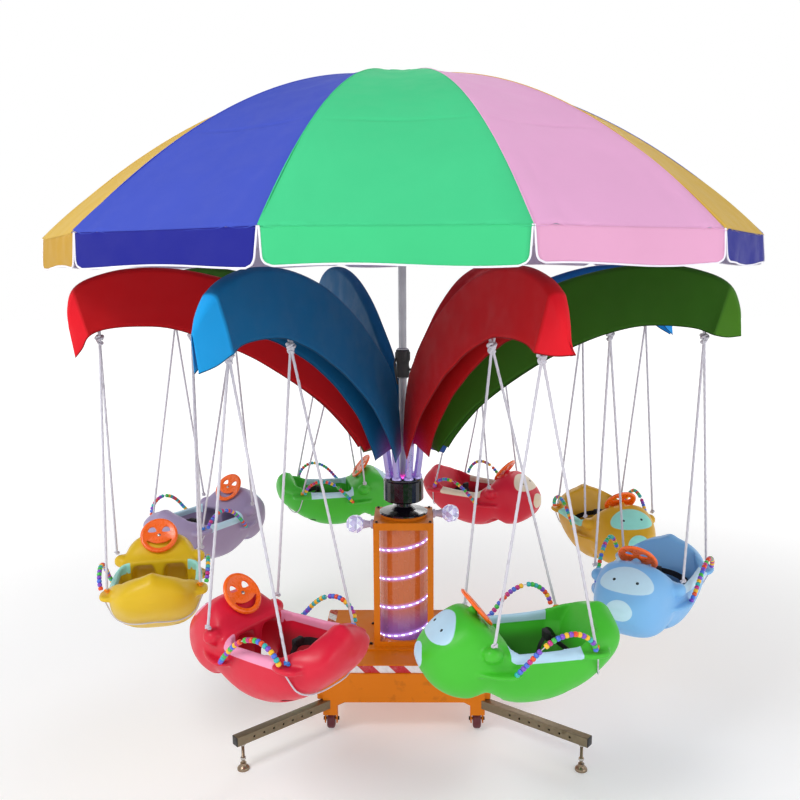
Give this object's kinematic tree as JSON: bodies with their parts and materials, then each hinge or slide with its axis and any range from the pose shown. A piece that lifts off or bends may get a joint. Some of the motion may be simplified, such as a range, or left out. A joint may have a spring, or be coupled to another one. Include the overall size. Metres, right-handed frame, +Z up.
{
  "type": "chair swing ride",
  "caption": "Small fairground swing ride: toy seats hang on ropes from arched arms that turn with a beach umbrella above a lit column on an outrigger base.",
  "frame": {"origin": "on the floor under the turning axis", "axes": "+Z up along the turning axis; -Y is the front, the side seen in the picture; +X to the right seen from the front"},
  "size_m": [2.8978, 2.8978, 2.8873],
  "materials": {
    "chassis_paint": "orange paint with scuffs and dust",
    "galvanised": "galvanised, stained",
    "caster_tread": "worn maroon tread",
    "lit_tube": "clear acrylic, lit from inside",
    "crystal": "clear, faceted",
    "black_steel": "black, greasy",
    "arm_steel": "satin",
    "pole_steel": "satin",
    "umbrella_cloth": "plain weave, panels of four colours",
    "wheel_plastic": "glossy",
    "rope": "braided rope",
    "cover_red": "thin smooth cloth",
    "cover_green": "thin smooth cloth",
    "cover_blue": "thin smooth cloth",
    "cover_teal": "thin smooth cloth",
    "seat_1": "glossy moulded lavender-blue plastic",
    "seat_2": "glossy moulded amber plastic",
    "seat_3": "glossy moulded red plastic",
    "seat_4": "glossy moulded leaf green plastic",
    "seat_5": "glossy moulded lavender plastic",
    "seat_6": "glossy moulded yellow plastic",
    "seat_7": "glossy moulded red plastic",
    "seat_8": "glossy moulded green plastic"
  },
  "bodies": {
    "base": {"base_chassis": "chassis_paint", "outrigger_front_left": "galvanised", "outrigger_front_right": "galvanised", "outrigger_rear_left": "galvanised", "outrigger_rear_right": "galvanised", "column_housing": "chassis_paint", "light_tube": "lit_tube", "crystal_lamp_left": "crystal", "crystal_lamp_right": "crystal", "bearing_flange": "black_steel"},
    "rotor": {"hub_drum": "black_steel", "arm_frame": "arm_steel", "umbrella_pole": "pole_steel", "umbrella_ribs": "pole_steel", "umbrella_canopy": "umbrella_cloth", "petal_cover_1": "cover_green", "petal_cover_2": "cover_blue", "petal_cover_3": "cover_red", "petal_cover_4": "cover_teal", "petal_cover_5": "cover_green", "petal_cover_6": "cover_red", "petal_cover_7": "cover_teal", "petal_cover_8": "cover_red"},
    "caster_front_left": {"caster_wheel_front_left": "caster_tread"},
    "caster_front_right": {"caster_wheel_front_right": "caster_tread"},
    "caster_rear_left": {"caster_wheel_rear_left": "caster_tread"},
    "caster_rear_right": {"caster_wheel_rear_right": "caster_tread"},
    "swing_outer_1": {"rope_outer_1": "rope"},
    "seat_1": {"seat_shell_1": "seat_1"},
    "swing_inner_1": {"rope_inner_1": "rope"},
    "wheel_1": {"steering_wheel_1": "wheel_plastic"},
    "swing_outer_2": {"rope_outer_2": "rope"},
    "seat_2": {"seat_shell_2": "seat_2"},
    "swing_inner_2": {"rope_inner_2": "rope"},
    "wheel_2": {"steering_wheel_2": "wheel_plastic"},
    "swing_outer_3": {"rope_outer_3": "rope"},
    "seat_3": {"seat_shell_3": "seat_3"},
    "swing_inner_3": {"rope_inner_3": "rope"},
    "wheel_3": {"steering_wheel_3": "wheel_plastic"},
    "swing_outer_4": {"rope_outer_4": "rope"},
    "seat_4": {"seat_shell_4": "seat_4"},
    "swing_inner_4": {"rope_inner_4": "rope"},
    "wheel_4": {"steering_wheel_4": "wheel_plastic"},
    "swing_outer_5": {"rope_outer_5": "rope"},
    "seat_5": {"seat_shell_5": "seat_5"},
    "swing_inner_5": {"rope_inner_5": "rope"},
    "wheel_5": {"steering_wheel_5": "wheel_plastic"},
    "swing_outer_6": {"rope_outer_6": "rope"},
    "seat_6": {"seat_shell_6": "seat_6"},
    "swing_inner_6": {"rope_inner_6": "rope"},
    "wheel_6": {"steering_wheel_6": "wheel_plastic"},
    "swing_outer_7": {"rope_outer_7": "rope"},
    "seat_7": {"seat_shell_7": "seat_7"},
    "swing_inner_7": {"rope_inner_7": "rope"},
    "wheel_7": {"steering_wheel_7": "wheel_plastic"},
    "swing_outer_8": {"rope_outer_8": "rope"},
    "seat_8": {"seat_shell_8": "seat_8"},
    "swing_inner_8": {"rope_inner_8": "rope"},
    "wheel_8": {"steering_wheel_8": "wheel_plastic"}
  },
  "joints": [
    {"name": "ride_turn", "type": "hinge", "parent": "base", "child": "rotor", "pos_m": [0, 0, 1], "axis": [0, 0, 1], "continuous": true},
    {"name": "caster_roll_front_left", "type": "hinge", "parent": "base", "child": "caster_front_left", "pos_m": [-0.328, -0.272, 0.047], "axis": [1, 0, 0], "continuous": true},
    {"name": "caster_roll_front_right", "type": "hinge", "parent": "base", "child": "caster_front_right", "pos_m": [0.328, -0.272, 0.047], "axis": [1, 0, 0], "continuous": true},
    {"name": "caster_roll_rear_left", "type": "hinge", "parent": "base", "child": "caster_rear_left", "pos_m": [-0.328, 0.272, 0.047], "axis": [1, 0, 0], "continuous": true},
    {"name": "caster_roll_rear_right", "type": "hinge", "parent": "base", "child": "caster_rear_right", "pos_m": [0.328, 0.272, 0.047], "axis": [1, 0, 0], "continuous": true},
    {"name": "swing_out_1", "type": "hinge", "parent": "rotor", "child": "swing_outer_1", "pos_m": [1.17907, -0.53982, 1.985], "axis": [-0.5388, -0.8425, 0], "range_deg": [-4, 12]},
    {"name": "seat_level_1", "type": "hinge", "parent": "swing_outer_1", "child": "seat_1", "pos_m": [1.16544, -0.56113, 0.8], "axis": [-0.5388, -0.8425, 0], "range_deg": [-12.5, 4.5]},
    {"name": "swing_in_1", "type": "hinge", "parent": "rotor", "child": "swing_inner_1", "pos_m": [0.84853, -0.38849, 1.985], "axis": [-0.5388, -0.8425, 0], "range_deg": [-4.5, 12.5]},
    {"name": "wheel_turn_1", "type": "hinge", "parent": "seat_1", "child": "wheel_1", "pos_m": [0.94484, -0.57199, 0.902], "axis": [0.4187, 0.6547, 0.6293], "continuous": true},
    {"name": "swing_out_2", "type": "hinge", "parent": "rotor", "child": "swing_outer_2", "pos_m": [1.21544, 0.45202, 1.985], "axis": [0.2147, -0.9767, 0], "range_deg": [-4, 12]},
    {"name": "seat_level_2", "type": "hinge", "parent": "swing_outer_2", "child": "seat_2", "pos_m": [1.22087, 0.42731, 0.8], "axis": [0.2147, -0.9767, 0], "range_deg": [-12.5, 4.5]},
    {"name": "swing_in_2", "type": "hinge", "parent": "rotor", "child": "swing_inner_2", "pos_m": [0.8747, 0.3253, 1.985], "axis": [0.2147, -0.9767, 0], "range_deg": [-4.5, 12.5]},
    {"name": "wheel_turn_2", "type": "hinge", "parent": "seat_2", "child": "wheel_2", "pos_m": [1.07256, 0.26364, 0.902], "axis": [-0.1669, 0.759, 0.6293], "continuous": true},
    {"name": "swing_out_3", "type": "hinge", "parent": "rotor", "child": "swing_outer_3", "pos_m": [0.53982, 1.17907, 1.985], "axis": [0.8425, -0.5388, 0], "range_deg": [-4, 12]},
    {"name": "seat_level_3", "type": "hinge", "parent": "swing_outer_3", "child": "seat_3", "pos_m": [0.56113, 1.16544, 0.8], "axis": [0.8425, -0.5388, 0], "range_deg": [-12.5, 4.5]},
    {"name": "swing_in_3", "type": "hinge", "parent": "rotor", "child": "swing_inner_3", "pos_m": [0.38849, 0.84853, 1.985], "axis": [0.8425, -0.5388, 0], "range_deg": [-4.5, 12.5]},
    {"name": "wheel_turn_3", "type": "hinge", "parent": "seat_3", "child": "wheel_3", "pos_m": [0.57199, 0.94484, 0.902], "axis": [-0.6547, 0.4187, 0.6293], "continuous": true},
    {"name": "swing_out_4", "type": "hinge", "parent": "rotor", "child": "swing_outer_4", "pos_m": [-0.45202, 1.21544, 1.985], "axis": [0.9767, 0.2147, 0], "range_deg": [-4, 12]},
    {"name": "seat_level_4", "type": "hinge", "parent": "swing_outer_4", "child": "seat_4", "pos_m": [-0.42731, 1.22087, 0.8], "axis": [0.9767, 0.2147, 0], "range_deg": [-12.5, 4.5]},
    {"name": "swing_in_4", "type": "hinge", "parent": "rotor", "child": "swing_inner_4", "pos_m": [-0.3253, 0.8747, 1.985], "axis": [0.9767, 0.2147, 0], "range_deg": [-4.5, 12.5]},
    {"name": "wheel_turn_4", "type": "hinge", "parent": "seat_4", "child": "wheel_4", "pos_m": [-0.26364, 1.07256, 0.902], "axis": [-0.759, -0.1669, 0.6293], "continuous": true},
    {"name": "swing_out_5", "type": "hinge", "parent": "rotor", "child": "swing_outer_5", "pos_m": [-1.17907, 0.53982, 1.985], "axis": [0.5388, 0.8425, 0], "range_deg": [-4, 12]},
    {"name": "seat_level_5", "type": "hinge", "parent": "swing_outer_5", "child": "seat_5", "pos_m": [-1.16544, 0.56113, 0.8], "axis": [0.5388, 0.8425, 0], "range_deg": [-12.5, 4.5]},
    {"name": "swing_in_5", "type": "hinge", "parent": "rotor", "child": "swing_inner_5", "pos_m": [-0.84853, 0.38849, 1.985], "axis": [0.5388, 0.8425, 0], "range_deg": [-4.5, 12.5]},
    {"name": "wheel_turn_5", "type": "hinge", "parent": "seat_5", "child": "wheel_5", "pos_m": [-0.94484, 0.57199, 0.902], "axis": [-0.4187, -0.6547, 0.6293], "continuous": true},
    {"name": "swing_out_6", "type": "hinge", "parent": "rotor", "child": "swing_outer_6", "pos_m": [-1.21544, -0.45202, 1.985], "axis": [-0.2147, 0.9767, 0], "range_deg": [-4, 12]},
    {"name": "seat_level_6", "type": "hinge", "parent": "swing_outer_6", "child": "seat_6", "pos_m": [-1.22087, -0.42731, 0.8], "axis": [-0.2147, 0.9767, 0], "range_deg": [-12.5, 4.5]},
    {"name": "swing_in_6", "type": "hinge", "parent": "rotor", "child": "swing_inner_6", "pos_m": [-0.8747, -0.3253, 1.985], "axis": [-0.2147, 0.9767, 0], "range_deg": [-4.5, 12.5]},
    {"name": "wheel_turn_6", "type": "hinge", "parent": "seat_6", "child": "wheel_6", "pos_m": [-1.07256, -0.26364, 0.902], "axis": [0.1669, -0.759, 0.6293], "continuous": true},
    {"name": "swing_out_7", "type": "hinge", "parent": "rotor", "child": "swing_outer_7", "pos_m": [-0.53982, -1.17907, 1.985], "axis": [-0.8425, 0.5388, 0], "range_deg": [-4, 12]},
    {"name": "seat_level_7", "type": "hinge", "parent": "swing_outer_7", "child": "seat_7", "pos_m": [-0.56113, -1.16544, 0.8], "axis": [-0.8425, 0.5388, 0], "range_deg": [-12.5, 4.5]},
    {"name": "swing_in_7", "type": "hinge", "parent": "rotor", "child": "swing_inner_7", "pos_m": [-0.38849, -0.84853, 1.985], "axis": [-0.8425, 0.5388, 0], "range_deg": [-4.5, 12.5]},
    {"name": "wheel_turn_7", "type": "hinge", "parent": "seat_7", "child": "wheel_7", "pos_m": [-0.57199, -0.94484, 0.902], "axis": [0.6547, -0.4187, 0.6293], "continuous": true},
    {"name": "swing_out_8", "type": "hinge", "parent": "rotor", "child": "swing_outer_8", "pos_m": [0.45202, -1.21544, 1.985], "axis": [-0.9767, -0.2147, 0], "range_deg": [-4, 12]},
    {"name": "seat_level_8", "type": "hinge", "parent": "swing_outer_8", "child": "seat_8", "pos_m": [0.42731, -1.22087, 0.8], "axis": [-0.9767, -0.2147, 0], "range_deg": [-12.5, 4.5]},
    {"name": "swing_in_8", "type": "hinge", "parent": "rotor", "child": "swing_inner_8", "pos_m": [0.3253, -0.8747, 1.985], "axis": [-0.9767, -0.2147, 0], "range_deg": [-4.5, 12.5]},
    {"name": "wheel_turn_8", "type": "hinge", "parent": "seat_8", "child": "wheel_8", "pos_m": [0.26364, -1.07256, 0.902], "axis": [0.759, 0.1669, 0.6293], "continuous": true}
  ],
  "couplings": [
    {"joint": "seat_level_1", "follows": "swing_out_1", "ratio": -1},
    {"joint": "swing_in_1", "follows": "swing_out_1", "ratio": 1},
    {"joint": "seat_level_2", "follows": "swing_out_2", "ratio": -1},
    {"joint": "swing_in_2", "follows": "swing_out_2", "ratio": 1},
    {"joint": "seat_level_3", "follows": "swing_out_3", "ratio": -1},
    {"joint": "swing_in_3", "follows": "swing_out_3", "ratio": 1},
    {"joint": "seat_level_4", "follows": "swing_out_4", "ratio": -1},
    {"joint": "swing_in_4", "follows": "swing_out_4", "ratio": 1},
    {"joint": "seat_level_5", "follows": "swing_out_5", "ratio": -1},
    {"joint": "swing_in_5", "follows": "swing_out_5", "ratio": 1},
    {"joint": "seat_level_6", "follows": "swing_out_6", "ratio": -1},
    {"joint": "swing_in_6", "follows": "swing_out_6", "ratio": 1},
    {"joint": "seat_level_7", "follows": "swing_out_7", "ratio": -1},
    {"joint": "swing_in_7", "follows": "swing_out_7", "ratio": 1},
    {"joint": "seat_level_8", "follows": "swing_out_8", "ratio": -1},
    {"joint": "swing_in_8", "follows": "swing_out_8", "ratio": 1}
  ]
}
